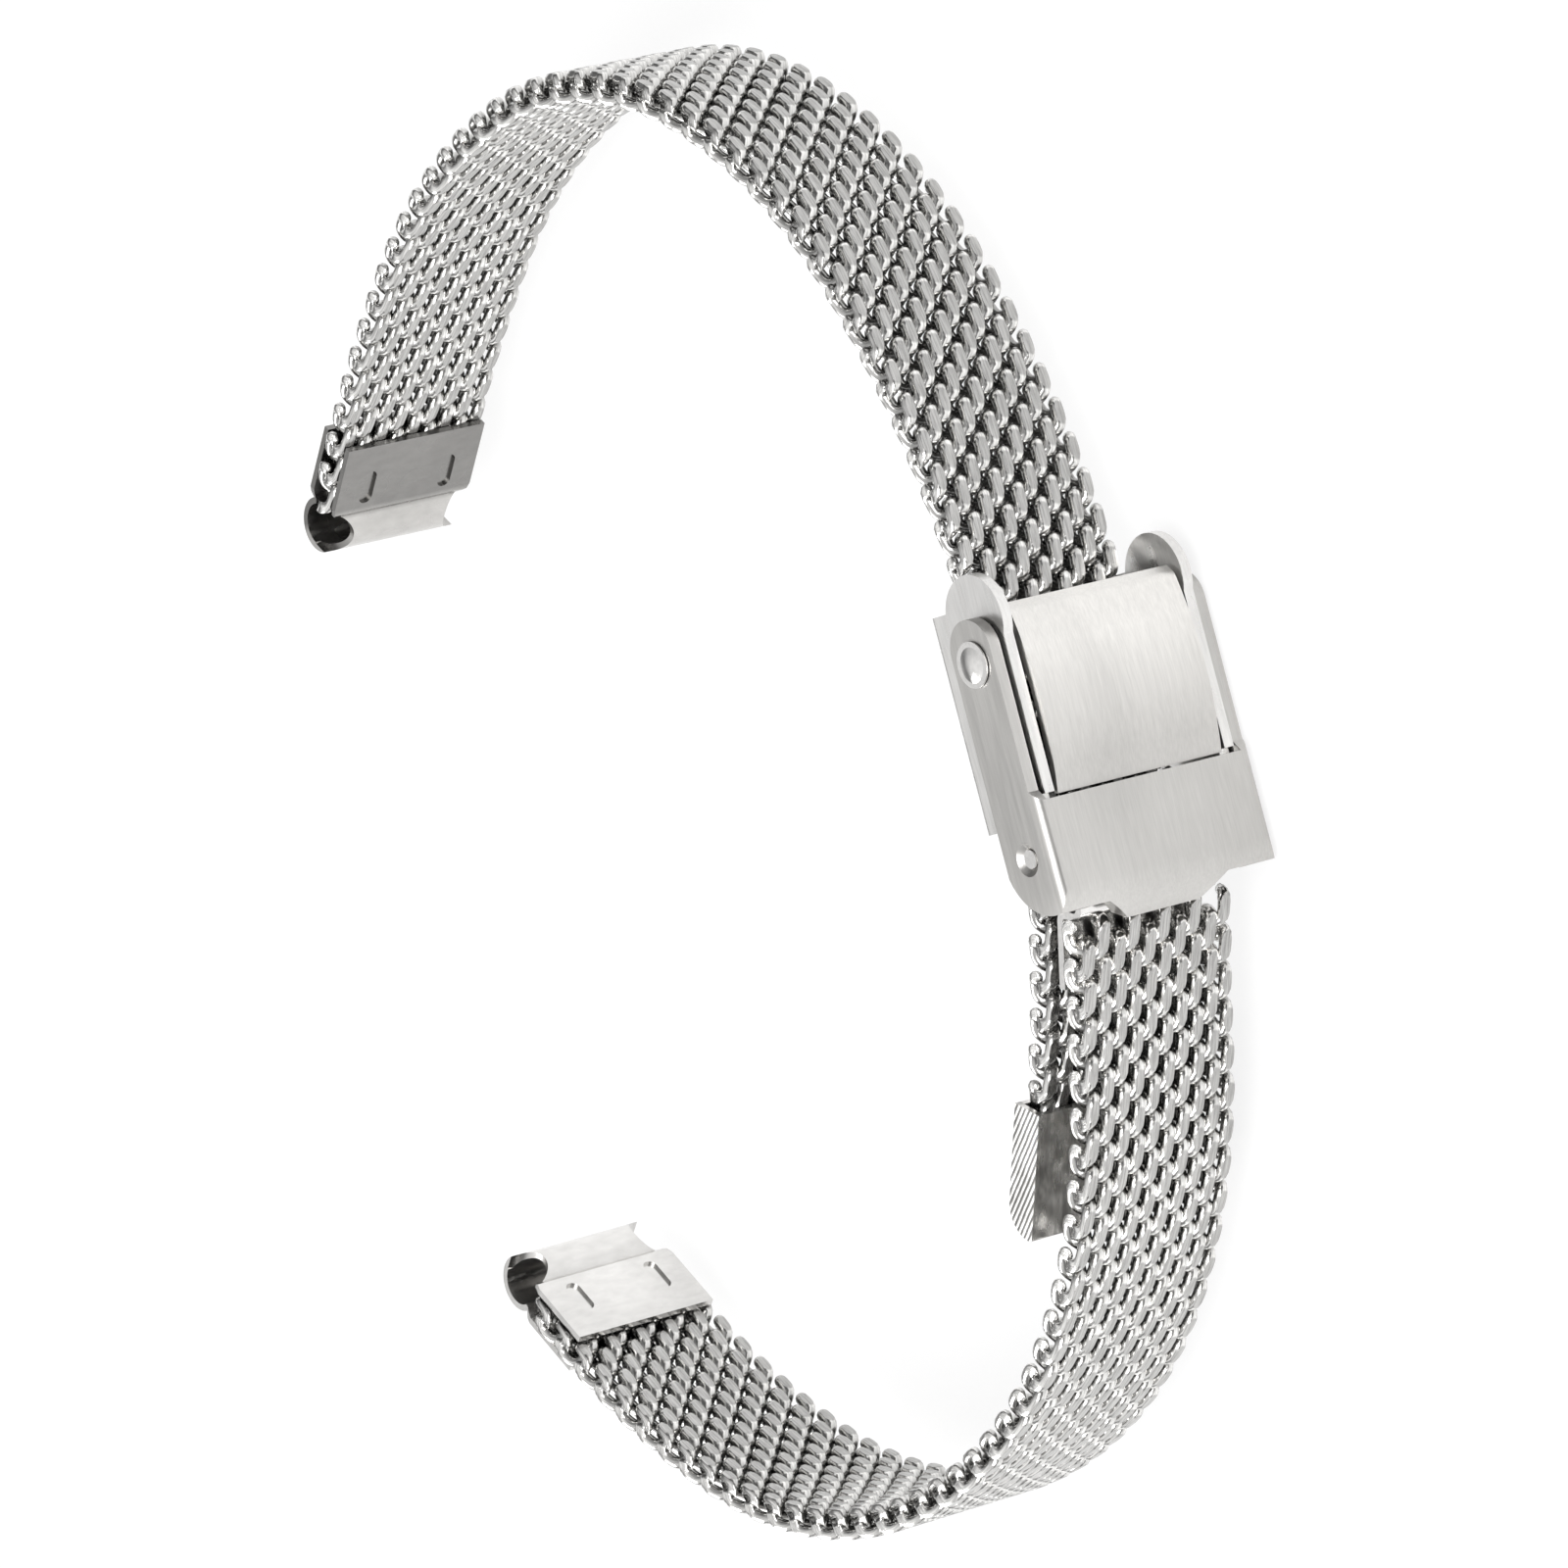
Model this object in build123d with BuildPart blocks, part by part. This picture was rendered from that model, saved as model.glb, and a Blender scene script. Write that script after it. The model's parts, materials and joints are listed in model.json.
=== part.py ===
from build123d import *
import os
from collections import namedtuple
from math import asin, cos, degrees, radians, sin, sqrt

# A milanese mesh band for a small watch: two lengths of woven steel mesh joined by a clasp that
# slides on the long one, with a folded cover hinged on it that carries the short one.
# The band lies on its side. +Z runs across its width, +X along the clasp towards the long
# strap, and -Y out of the wrist. The zero is below the middle of the loop, on the table.
# Everything on the clasp is given from the clasp's own zero, on the strap's middle line.

# Place of the clasp's zero on the table
CLASP_X = -3.0
CLASP_Y = -22.4

# Woven mesh. A row stands for two neighbouring wire spirals. Its edges zigzag, and every second
# row leans the other way, which leaves a staggered grid of openings between the rows.
MESH_WIDTH = 8.0
MESH_THICKNESS = 1.44
ROW_PITCH = 1.64
ROW_GAP = 0.12
BEND_GAP = 0.4
LOOPS_ACROSS = 10
ZIGZAG_SHARE = 0.08
PRESSED_THICKNESS = 1.0

# How the mesh lies: for each stiff stretch, runs of rows with the degrees that each run turns
CHANNEL_TURNS = [(6, 0), (1, 6)]
LONG_TURNS = [[(8, 18.7)], [(8, 32.4)], [(8, 40.6)], [(8, 28.9)], [(6, 7.3), (2, 0)]]
FREE_END_ROOT_TURNS = [(1, -11)]
FREE_END_TURNS = [(1, -11), (2, 0), (2, -6.5), (3, 0)]
SHORT_TURNS = [
    [(4, 0), (5, -16.4)],
    [(7, -28.4)],
    [(7, -25.7)],
    [(7, -29.9)],
    [(7, -17.4), (2, 0)],
]
CHANNEL_START_X = -1.84
SHORT_HEADING = 159.7

# Clearances
RUNNING_CLEARANCE = 0.05
FIXED_CLEARANCE = 0.02
SEAT_GAP = 0.03
CHANNEL_PLAY = 0.1
CHANNEL_SIDE_PLAY = 0.6
LOCK_SIDE_PLAY = 0.18
ARM_SIDE_PLAY = 0.15
CAP_SIDE_PLAY = 0.05
OVERRUN = 1.0

# Slider channel: a folded tray with a round ear on each wall, where the long strap enters
CHANNEL_SHEET = 0.5
CHANNEL_FLOOR = 0.45
CHANNEL_LOW_X = -1.6
FLOOR_LOW_X = 0.6
CHANNEL_TOP_X = 7.8
CHANNEL_BEND_RADIUS = 0.35
WALL_TOP_Y = -3.55
WALL_STEP_X = -0.5
WALL_LOW_Y = -3.1
EAR_X = 7.2
EAR_Y = -1.8
EAR_RADIUS = 1.95

# Pivot pin, through the cover's arms, the channel's walls and the lock plate's lugs
PIVOT_X = 5.42
PIVOT_Y = -1.94
PIN_RADIUS = 0.4
HEAD_GAP = 0.05
HEAD_RADIUS = 1.0
HEAD_RIM = 0.07
DOME_RADIUS = 0.76
DOME_HEIGHT = 0.13

# Lock plate: an arched lid whose two lugs nip the mesh when it is shut
LOCK_SHEET = 0.45
LOCK_LOW_X = -0.58
LOCK_TOP_X = 7.0
LOCK_END_Y = -3.28
LOCK_CROWN_Y = -3.72
LOCK_LIP_RADIUS = 0.3
LOCK_LIP_TURN = 32
LOCK_LIP_LENGTH = 0.4
LUG_SHEET = 0.7
LUG_RADIUS = 0.95
NIP_GAP = 0.14
NIP_LENGTH = 0.5

# Cover: a folded bail, with two arms on the pivot pin and a curved thumb lip
COVER_SHEET = 0.45
ARM_SHEET = 0.55
ARM_RADIUS = 1.4
ARM_OVERHANG = 0.5
ARM_LOW_X = -3.6
ARM_HEEL_X = -4.95
ARM_HEEL_Y = -1.45
COVER_Y = -3.75
COVER_TOP_X = -0.75
COVER_STEP = 0.45
COVER_EDGE_RADIUS = 0.5
LIP_X = -4.4
LIP_RADIUS = 2.3
LIP_TURN = 28.6
TAB_TURN = 58
TAB_BASE = 6.4
TAB_TIP = 3.9

# Hook pin, across the cover, and the curled hook of the short strap that hangs on it
HOOK_PIN_X = -3.0
HOOK_PIN_Y = -2.1
HOOK_PIN_RECESS = 0.15
DIMPLE_RADIUS = 0.72
DIMPLE_DEPTH = 0.25
HOOK_INSET = 0.3
HOOK_SHEET = 0.35
HOOK_REACH = 3.2
HOOK_TONGUE = 3.0
HOOK_RISE = 0.32
HOOK_BEND_RADIUS = 0.35
HOOK_CURL_TURN = 250

# Fittings at the watch case: a sheet folded over the mesh end and rolled into a tube
FITTING_SHEET = 0.3
FITTING_LEAF = 3.7
LEAF_INSET = 0.2
FITTING_MARGIN = 0.15
FITTING_NECK = 0.25
FITTING_NECK_OUTER = 0.85
FITTING_NECK_INNER = 0.6
BORE_RADIUS = 1.0
TUBE_INSET = 0.4
CORNER_BACK = 0.3
NOTCH_RADIUS = 1.05
RIB_LENGTH = 1.8
RIB_WIDTH = 0.7
RIB_DEPTH = 0.15
RIB_SPREAD = 4.4
RIB_BACK = 1.35

# Cap pressed over the long strap's free end, where the last rows are flat
CAP_SHEET = 0.28
CAP_MOUTH = 2.53
CAP_NOSE = 3.35
CAP_INNER_RADIUS = 1.4
PRESSED_ROWS = 2
CAP_OUTER_RADIUS = 0.15

# Worked out from the sizes above
HALF_MESH = MESH_THICKNESS / 2
CHANNEL_INSIDE = MESH_WIDTH + 2 * CHANNEL_SIDE_PLAY
CHANNEL_WIDTH = CHANNEL_INSIDE + 2 * CHANNEL_SHEET
LOCK_WIDTH = CHANNEL_INSIDE - 2 * LOCK_SIDE_PLAY
COVER_INSIDE = CHANNEL_WIDTH + 2 * ARM_SIDE_PLAY
COVER_WIDTH = COVER_INSIDE + 2 * ARM_SHEET
HOOK_WIDTH = MESH_WIDTH - 2 * HOOK_INSET
LEAF_WIDTH = MESH_WIDTH - 2 * LEAF_INSET
TUBE_WIDTH = MESH_WIDTH - 2 * TUBE_INSET
CAP_INSIDE = MESH_WIDTH + 2 * CAP_SIDE_PLAY
CAP_WIDTH = CAP_INSIDE + 2 * CAP_SHEET
MID_Z = COVER_WIDTH / 2 + HEAD_GAP + HEAD_RIM + DOME_HEIGHT
CLASP = Plane(origin=(CLASP_X, CLASP_Y, MID_Z), x_dir=(1, 0, 0), z_dir=(0, 0, 1))
PIVOT_AXIS = Axis((CLASP_X + PIVOT_X, CLASP_Y + PIVOT_Y, 0), (0, 0, 1))
FLOOR_IN_Y = HALF_MESH + CHANNEL_PLAY
FLOOR_OUT_Y = FLOOR_IN_Y + CHANNEL_FLOOR
COVER_IN_Y = COVER_Y + COVER_SHEET
LIP_CENTRE_Y = COVER_Y + LIP_RADIUS
HOOK_CURL_RADIUS = PIN_RADIUS + RUNNING_CLEARANCE + HOOK_SHEET / 2
TUBE_RADIUS = BORE_RADIUS + FITTING_SHEET
TUBE_CENTRE = FITTING_NECK + sqrt(TUBE_RADIUS**2 - FITTING_NECK_OUTER**2)

# A point of the strap's middle line and the way it runs there, in degrees from +X
Station = namedtuple("Station", "x y heading")


def advance(station, length, turn):
    """The station reached along an arc of this length that turns by this many degrees."""
    half = radians(turn) / 2
    chord = length * sin(half) / half if turn else length
    middle = radians(station.heading) + half
    return Station(
        station.x + chord * cos(middle),
        station.y + chord * sin(middle),
        station.heading + turn,
    )


def shifted(station, along, left):
    """A station moved along its heading and to its left."""
    heading = radians(station.heading)
    return Station(
        station.x + along * cos(heading) - left * sin(heading),
        station.y + along * sin(heading) + left * cos(heading),
        station.heading,
    )


def side_plane(station):
    """Plane of the loop at a station: local X along the strap, local Y to its left."""
    heading = radians(station.heading)
    return Plane(
        origin=(CLASP_X + station.x, CLASP_Y + station.y, MID_Z),
        x_dir=(cos(heading), sin(heading), 0),
        z_dir=(0, 0, 1),
    )


def face_plane(station):
    """Plane of the mesh at a station: local X along the strap, local Z to its left."""
    heading = radians(station.heading)
    return Plane(
        origin=(CLASP_X + station.x, CLASP_Y + station.y, MID_Z),
        x_dir=(cos(heading), sin(heading), 0),
        z_dir=(-sin(heading), cos(heading), 0),
    )


def keep(piece, label):
    """Name a finished piece and write it."""
    piece.part.label = label
    export_step(piece.part, f"parts/{label}.step")


def row_count(runs):
    """How many rows there are in these runs."""
    return sum(count for count, turn in runs)


def row_outline(back_gap, front_gap, row):
    """Zigzag outline of one row, seen on the mesh's face. The gaps are those between its peaks."""
    zigzag = ZIGZAG_SHARE * ROW_PITCH
    back = -(ROW_PITCH - back_gap) / 2 + zigzag
    front = (ROW_PITCH - front_gap) / 2 - zigzag
    back_edge = []
    front_edge = []
    for loop in range(LOOPS_ACROSS):
        across = MESH_WIDTH * (loop / (LOOPS_ACROSS - 1) - 0.5)
        lean = (-1) ** (row + loop) * zigzag
        back_edge.append((back + lean, across))
        front_edge.append((front + lean, across))
    return back_edge + front_edge[::-1]


def mesh_stretch(label, start, runs, start_gap, end_gap, rows_before=0, pressed=0):
    """Rows of one stiff stretch of mesh, from a station. Gives back the station at its end.

    The last rows can be pressed flat, for the cap to hold."""
    middles = []
    here = start
    for count, turn in runs:
        for _ in range(count):
            middles.append(advance(here, ROW_PITCH / 2, turn / count / 2))
            here = advance(here, ROW_PITCH, turn / count)
    with BuildPart() as rows:
        for number, middle in enumerate(middles):
            back_gap = start_gap if number == 0 else ROW_GAP
            front_gap = end_gap if number == len(middles) - 1 else ROW_GAP
            flat = number >= len(middles) - pressed
            with BuildSketch(face_plane(middle)):
                with BuildLine():
                    Polyline(*row_outline(back_gap, front_gap, rows_before + number), close=True)
                make_face()
            extrude(amount=PRESSED_THICKNESS / 2 if flat else HALF_MESH, both=True)
    keep(rows, label)
    return here


def slider_channel():
    """Folded tray that the long strap runs through."""
    with BuildPart() as channel:
        with BuildSketch(CLASP):
            ear_low = (CHANNEL_TOP_X, EAR_Y + sqrt(EAR_RADIUS**2 - (CHANNEL_TOP_X - EAR_X) ** 2))
            ear_high = (EAR_X - sqrt(EAR_RADIUS**2 - (WALL_TOP_Y - EAR_Y) ** 2), WALL_TOP_Y)
            with BuildLine():
                Polyline((CHANNEL_LOW_X, WALL_LOW_Y), (CHANNEL_LOW_X, FLOOR_OUT_Y),
                         (CHANNEL_TOP_X, FLOOR_OUT_Y), ear_low)
                ThreePointArc(ear_low, (EAR_X + EAR_RADIUS, EAR_Y), ear_high)
                Polyline(ear_high, (WALL_STEP_X, WALL_TOP_Y), (WALL_STEP_X, WALL_LOW_Y),
                         (CHANNEL_LOW_X, WALL_LOW_Y))
            make_face()
        extrude(amount=CHANNEL_WIDTH / 2, both=True)
        folds = channel.edges().filter_by(Axis.X).group_by(Axis.Y)[-1]
        fillet(folds, radius=CHANNEL_BEND_RADIUS)
        with BuildSketch(CLASP):
            with BuildLine():
                Polyline((CHANNEL_LOW_X - OVERRUN, FLOOR_OUT_Y + OVERRUN),
                         (FLOOR_LOW_X, FLOOR_OUT_Y + OVERRUN), (FLOOR_LOW_X, FLOOR_IN_Y),
                         (EAR_X + EAR_RADIUS + OVERRUN, FLOOR_IN_Y),
                         (EAR_X + EAR_RADIUS + OVERRUN, EAR_Y - EAR_RADIUS - OVERRUN),
                         (CHANNEL_LOW_X - OVERRUN, EAR_Y - EAR_RADIUS - OVERRUN), close=True)
            make_face()
        extrude(amount=CHANNEL_INSIDE / 2, both=True, mode=Mode.SUBTRACT)
        with BuildSketch(CLASP):
            with Locations((PIVOT_X, PIVOT_Y)):
                Circle(PIN_RADIUS + FIXED_CLEARANCE)
        extrude(amount=CHANNEL_WIDTH / 2, both=True, mode=Mode.SUBTRACT)
    keep(channel, "slider_channel")


def pivot_pin():
    """Pin with a rim and a low dome at each end, outside the cover's arms."""
    head_start = COVER_WIDTH / 2 + HEAD_GAP
    rim_top = head_start + HEAD_RIM
    dome_top = rim_top + DOME_HEIGHT
    dome_curve = (DOME_RADIUS**2 + DOME_HEIGHT**2) / (2 * DOME_HEIGHT)
    dome_angle = degrees(asin(DOME_RADIUS / dome_curve))
    section = Plane(origin=(CLASP_X + PIVOT_X, CLASP_Y + PIVOT_Y, MID_Z),
                    x_dir=(1, 0, 0), z_dir=(0, 1, 0))
    with BuildPart() as pin:
        with BuildSketch(section):
            with BuildLine():
                Polyline((PIN_RADIUS, 0), (PIN_RADIUS, head_start), (HEAD_RADIUS, head_start),
                         (HEAD_RADIUS, rim_top), (DOME_RADIUS, rim_top))
                CenterArc((0, dome_top - dome_curve), dome_curve, 90 - dome_angle, dome_angle)
                mirror(about=Plane.XZ)
                Line((0, dome_top), (0, -dome_top))
            make_face()
        revolve(axis=PIVOT_AXIS)
    keep(pin, "pivot_pin")


def lock_plate():
    """Arched lid with a turned-down lip, and a lug at each side on the pivot pin."""
    lug_out = LOCK_WIDTH / 2
    with BuildPart() as lock:
        with BuildSketch(CLASP):
            with BuildLine() as path:
                arch = ThreePointArc((LOCK_LOW_X, LOCK_END_Y),
                                     ((LOCK_LOW_X + LOCK_TOP_X) / 2, LOCK_CROWN_Y),
                                     (LOCK_TOP_X, LOCK_END_Y))
                bend = JernArc(arch @ 1, arch % 1, LOCK_LIP_RADIUS, LOCK_LIP_TURN)
                Line(bend @ 1, bend @ 1 + LOCK_LIP_LENGTH * (bend % 1))
            trace(line_width=LOCK_SHEET)
        extrude(amount=LOCK_WIDTH / 2, both=True)
        for side in (1, -1):
            with BuildSketch(CLASP.offset(side * lug_out)):
                nip_y = -HALF_MESH - NIP_GAP
                with BuildLine():
                    Polyline((PIVOT_X - LUG_RADIUS, PIVOT_Y), (PIVOT_X - LUG_RADIUS, LOCK_CROWN_Y),
                             (PIVOT_X + LUG_RADIUS, LOCK_END_Y), (PIVOT_X + LUG_RADIUS, PIVOT_Y))
                    ThreePointArc((PIVOT_X + LUG_RADIUS, PIVOT_Y), (PIVOT_X, PIVOT_Y + LUG_RADIUS),
                                  (PIVOT_X - LUG_RADIUS, PIVOT_Y))
                make_face()
                with BuildLine():
                    Polyline((PIVOT_X, PIVOT_Y), (PIVOT_X, nip_y),
                             (PIVOT_X - NIP_LENGTH, nip_y), (PIVOT_X - LUG_RADIUS, PIVOT_Y),
                             close=True)
                make_face()
                with Locations((PIVOT_X, PIVOT_Y)):
                    Circle(PIN_RADIUS + RUNNING_CLEARANCE, mode=Mode.SUBTRACT)
            extrude(amount=-side * LUG_SHEET)
    keep(lock, "lock_plate")


def cover():
    """Folded bail: arms on the pivot pin, a brushed plate, a curved lip and a thumb tab."""
    lip_end = (LIP_X - LIP_RADIUS * sin(radians(LIP_TURN)),
               LIP_CENTRE_Y - LIP_RADIUS * cos(radians(LIP_TURN)))
    tab_end_x = LIP_X - LIP_RADIUS * sin(radians(TAB_TURN))
    inner_lip_radius = LIP_RADIUS - COVER_SHEET
    arm_in_y = PIVOT_Y + ARM_RADIUS
    arm_out_y = PIVOT_Y - ARM_RADIUS
    arm_top_x = PIVOT_X + ARM_OVERHANG
    with BuildPart() as bail:
        with BuildSketch(CLASP):
            with BuildLine():
                ThreePointArc((arm_top_x, arm_out_y), (arm_top_x + ARM_RADIUS, PIVOT_Y),
                              (arm_top_x, arm_in_y))
                Line((arm_top_x, arm_in_y), (ARM_LOW_X, arm_in_y))
                ThreePointArc((ARM_LOW_X, arm_in_y), (ARM_HEEL_X, ARM_HEEL_Y), lip_end)
                CenterArc((LIP_X, LIP_CENTRE_Y), LIP_RADIUS, -90, -LIP_TURN)
                Polyline((LIP_X, COVER_Y), (COVER_TOP_X, COVER_Y),
                         (COVER_TOP_X + COVER_STEP, arm_out_y), (arm_top_x, arm_out_y))
            make_face()
        extrude(amount=COVER_WIDTH / 2, both=True)
        with BuildSketch(Plane(origin=(CLASP_X, CLASP_Y, MID_Z), x_dir=(0, 1, 0), z_dir=(1, 0, 0))):
            with Locations((COVER_Y, 0)):
                RectangleRounded(-2 * COVER_Y, COVER_WIDTH, COVER_EDGE_RADIUS,
                                 align=(Align.MIN, Align.CENTER))
        extrude(amount=arm_top_x + ARM_RADIUS - lip_end[0], both=True, mode=Mode.INTERSECT)
        with BuildSketch(CLASP):
            with BuildLine():
                CenterArc((LIP_X, LIP_CENTRE_Y), inner_lip_radius, -90, -90)
                Polyline((LIP_X - inner_lip_radius, LIP_CENTRE_Y),
                         (LIP_X - inner_lip_radius, -COVER_Y),
                         (arm_top_x + ARM_RADIUS + OVERRUN, -COVER_Y),
                         (arm_top_x + ARM_RADIUS + OVERRUN, COVER_Y - OVERRUN),
                         (COVER_TOP_X, COVER_Y - OVERRUN), (COVER_TOP_X, COVER_IN_Y),
                         (LIP_X, COVER_IN_Y))
            make_face()
        extrude(amount=COVER_INSIDE / 2, both=True, mode=Mode.SUBTRACT)
        with BuildSketch(CLASP):
            with BuildLine():
                outer = CenterArc((LIP_X, LIP_CENTRE_Y), LIP_RADIUS, -90, -TAB_TURN)
                inner = CenterArc((LIP_X, LIP_CENTRE_Y), inner_lip_radius, -90, -TAB_TURN)
                Line(outer @ 0, inner @ 0)
                Line(outer @ 1, inner @ 1)
            make_face()
        extrude(amount=TAB_BASE / 2, both=True)
        with BuildSketch(Plane(origin=(CLASP_X, CLASP_Y, MID_Z), x_dir=(1, 0, 0), z_dir=(0, -1, 0))):
            for side in (1, -1):
                with BuildLine():
                    Polyline((lip_end[0], side * TAB_BASE / 2), (tab_end_x, side * TAB_TIP / 2),
                             (tab_end_x - OVERRUN, side * TAB_TIP / 2),
                             (tab_end_x - OVERRUN, side * (TAB_BASE / 2 + OVERRUN)),
                             (lip_end[0], side * (TAB_BASE / 2 + OVERRUN)), close=True)
                make_face()
        extrude(amount=-COVER_Y + OVERRUN, mode=Mode.SUBTRACT)
        with BuildSketch(CLASP):
            with Locations((PIVOT_X, PIVOT_Y)):
                Circle(PIN_RADIUS + RUNNING_CLEARANCE)
            with Locations((HOOK_PIN_X, HOOK_PIN_Y)):
                Circle(PIN_RADIUS + FIXED_CLEARANCE)
        extrude(amount=COVER_WIDTH / 2, both=True, mode=Mode.SUBTRACT)
        for side in (1, -1):
            with BuildSketch(CLASP.offset(side * COVER_WIDTH / 2)):
                with Locations((HOOK_PIN_X, HOOK_PIN_Y)):
                    Circle(DIMPLE_RADIUS)
            with BuildSketch(CLASP.offset(side * (COVER_WIDTH / 2 - DIMPLE_DEPTH))):
                with Locations((HOOK_PIN_X, HOOK_PIN_Y)):
                    Circle(PIN_RADIUS + FIXED_CLEARANCE)
            loft(mode=Mode.SUBTRACT)
    keep(bail, "cover")


def hook_pin():
    """Plain pin across the cover, its ends just inside the dimples."""
    with BuildPart() as pin:
        with BuildSketch(CLASP):
            with Locations((HOOK_PIN_X, HOOK_PIN_Y)):
                Circle(PIN_RADIUS)
        extrude(amount=COVER_WIDTH / 2 - HOOK_PIN_RECESS, both=True)
    keep(pin, "hook_pin")


def short_start():
    """Station where the short strap's mesh starts, behind the curl on the hook pin."""
    tongue_offset = HALF_MESH + SEAT_GAP + HOOK_SHEET / 2
    pin = Station(HOOK_PIN_X, HOOK_PIN_Y, SHORT_HEADING)
    return shifted(pin, HOOK_REACH, tongue_offset - HOOK_CURL_RADIUS)


def short_hook(start):
    """Sheet under the short strap's first rows, bent up before them and curled round the pin."""
    tongue_y = -(HALF_MESH + SEAT_GAP + HOOK_SHEET / 2)
    curl_y = tongue_y + HOOK_CURL_RADIUS
    crest_y = curl_y + HOOK_CURL_RADIUS
    with BuildPart() as hook:
        with BuildSketch(side_plane(start)):
            with BuildLine():
                tongue = Line((HOOK_TONGUE, tongue_y), (HOOK_BEND_RADIUS - HOOK_RISE, tongue_y))
                low_bend = JernArc(tongue @ 1, tongue % 1, HOOK_BEND_RADIUS, -90)
                rise = Line(low_bend @ 1, (-HOOK_RISE, crest_y - HOOK_BEND_RADIUS))
                high_bend = JernArc(rise @ 1, rise % 1, HOOK_BEND_RADIUS, 90)
                Line(high_bend @ 1, (-HOOK_REACH, crest_y))
                CenterArc((-HOOK_REACH, curl_y), HOOK_CURL_RADIUS, 90, HOOK_CURL_TURN)
            trace(line_width=HOOK_SHEET)
        extrude(amount=HOOK_WIDTH / 2, both=True)
    keep(hook, "short_hook")


def bar_fitting(label, mesh_end, inward):
    """Sheet folded over a mesh end and rolled into the tube that takes a spring bar.

    inward is 1 where the wrist lies to the left of the strap's heading, and -1 to its right."""
    seat = shifted(mesh_end, FITTING_MARGIN, 0)
    leaf_in = HALF_MESH + SEAT_GAP
    leaf_out = leaf_in + FITTING_SHEET
    outer_neck = TUBE_CENTRE - sqrt(TUBE_RADIUS**2 - FITTING_NECK_OUTER**2)
    inner_neck = TUBE_CENTRE - sqrt(BORE_RADIUS**2 - FITTING_NECK_INNER**2)
    tube_end = TUBE_CENTRE + TUBE_RADIUS
    with BuildPart() as fitting:
        with BuildSketch(side_plane(seat)):
            with BuildLine():
                Polyline((outer_neck, -FITTING_NECK_OUTER), (0, -leaf_out),
                         (-FITTING_LEAF, -leaf_out), (-FITTING_LEAF, leaf_out),
                         (0, leaf_out), (outer_neck, FITTING_NECK_OUTER))
                ThreePointArc((outer_neck, FITTING_NECK_OUTER), (tube_end, 0),
                              (outer_neck, -FITTING_NECK_OUTER))
            make_face()
            with BuildLine():
                Polyline((inner_neck, -FITTING_NECK_INNER), (0, -leaf_in),
                         (-FITTING_LEAF - OVERRUN, -leaf_in), (-FITTING_LEAF - OVERRUN, leaf_in),
                         (0, leaf_in), (inner_neck, FITTING_NECK_INNER))
                ThreePointArc((inner_neck, FITTING_NECK_INNER), (TUBE_CENTRE + BORE_RADIUS, 0),
                              (inner_neck, -FITTING_NECK_INNER))
            make_face(mode=Mode.SUBTRACT)
        extrude(amount=LEAF_WIDTH / 2, both=True)
        with BuildSketch(face_plane(seat)):
            with BuildLine():
                Polyline((-FITTING_LEAF, -LEAF_WIDTH / 2), (-CORNER_BACK, -LEAF_WIDTH / 2),
                         (outer_neck, -TUBE_WIDTH / 2), (tube_end, -TUBE_WIDTH / 2),
                         (tube_end, TUBE_WIDTH / 2), (outer_neck, TUBE_WIDTH / 2),
                         (-CORNER_BACK, LEAF_WIDTH / 2), (-FITTING_LEAF, LEAF_WIDTH / 2),
                         close=True)
            make_face()
        extrude(amount=TUBE_RADIUS, both=True, mode=Mode.INTERSECT)
        with BuildSketch(face_plane(seat)):
            with Locations((TUBE_CENTRE, TUBE_WIDTH / 2), (TUBE_CENTRE, -TUBE_WIDTH / 2)):
                Circle(NOTCH_RADIUS)
        extrude(amount=inward * TUBE_RADIUS, mode=Mode.SUBTRACT)
        with BuildSketch(face_plane(seat).offset(inward * leaf_out)):
            with Locations((-RIB_BACK, RIB_SPREAD / 2), (-RIB_BACK, -RIB_SPREAD / 2)):
                SlotOverall(RIB_LENGTH, RIB_WIDTH)
        extrude(amount=-inward * RIB_DEPTH, mode=Mode.SUBTRACT)
    keep(fitting, label)


def free_end_cap(mesh_end):
    """Cap pressed over the free end, closed at its sides, and rounded on the wrist side."""
    pocket = PRESSED_THICKNESS / 2 + SEAT_GAP
    half = pocket + CAP_SHEET
    corner_share = 1 - sqrt(0.5)
    with BuildPart() as cap:
        with BuildSketch(side_plane(mesh_end)):
            with BuildLine():
                Polyline((CAP_NOSE - CAP_INNER_RADIUS, -half), (-CAP_MOUTH, -half),
                         (-CAP_MOUTH, half), (CAP_NOSE - CAP_OUTER_RADIUS, half))
                ThreePointArc((CAP_NOSE - CAP_OUTER_RADIUS, half),
                              (CAP_NOSE - corner_share * CAP_OUTER_RADIUS,
                               half - corner_share * CAP_OUTER_RADIUS),
                              (CAP_NOSE, half - CAP_OUTER_RADIUS))
                Line((CAP_NOSE, half - CAP_OUTER_RADIUS), (CAP_NOSE, CAP_INNER_RADIUS - half))
                ThreePointArc((CAP_NOSE, CAP_INNER_RADIUS - half),
                              (CAP_NOSE - corner_share * CAP_INNER_RADIUS,
                               corner_share * CAP_INNER_RADIUS - half),
                              (CAP_NOSE - CAP_INNER_RADIUS, -half))
            make_face()
        extrude(amount=CAP_WIDTH / 2, both=True)
        with BuildSketch(side_plane(mesh_end)):
            with BuildLine():
                Polyline((-CAP_MOUTH - OVERRUN, -pocket), (FITTING_MARGIN, -pocket),
                         (FITTING_MARGIN, pocket), (-CAP_MOUTH - OVERRUN, pocket), close=True)
            make_face()
        extrude(amount=CAP_INSIDE / 2, both=True, mode=Mode.SUBTRACT)
    keep(cap, "free_end_cap")


def tell(name, station):
    """Print a hinge's place on the table."""
    print(f"{name}: x {CLASP_X + station.x:.3f}  y {CLASP_Y + station.y:.3f}  heading {station.heading:.2f}")


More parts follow.
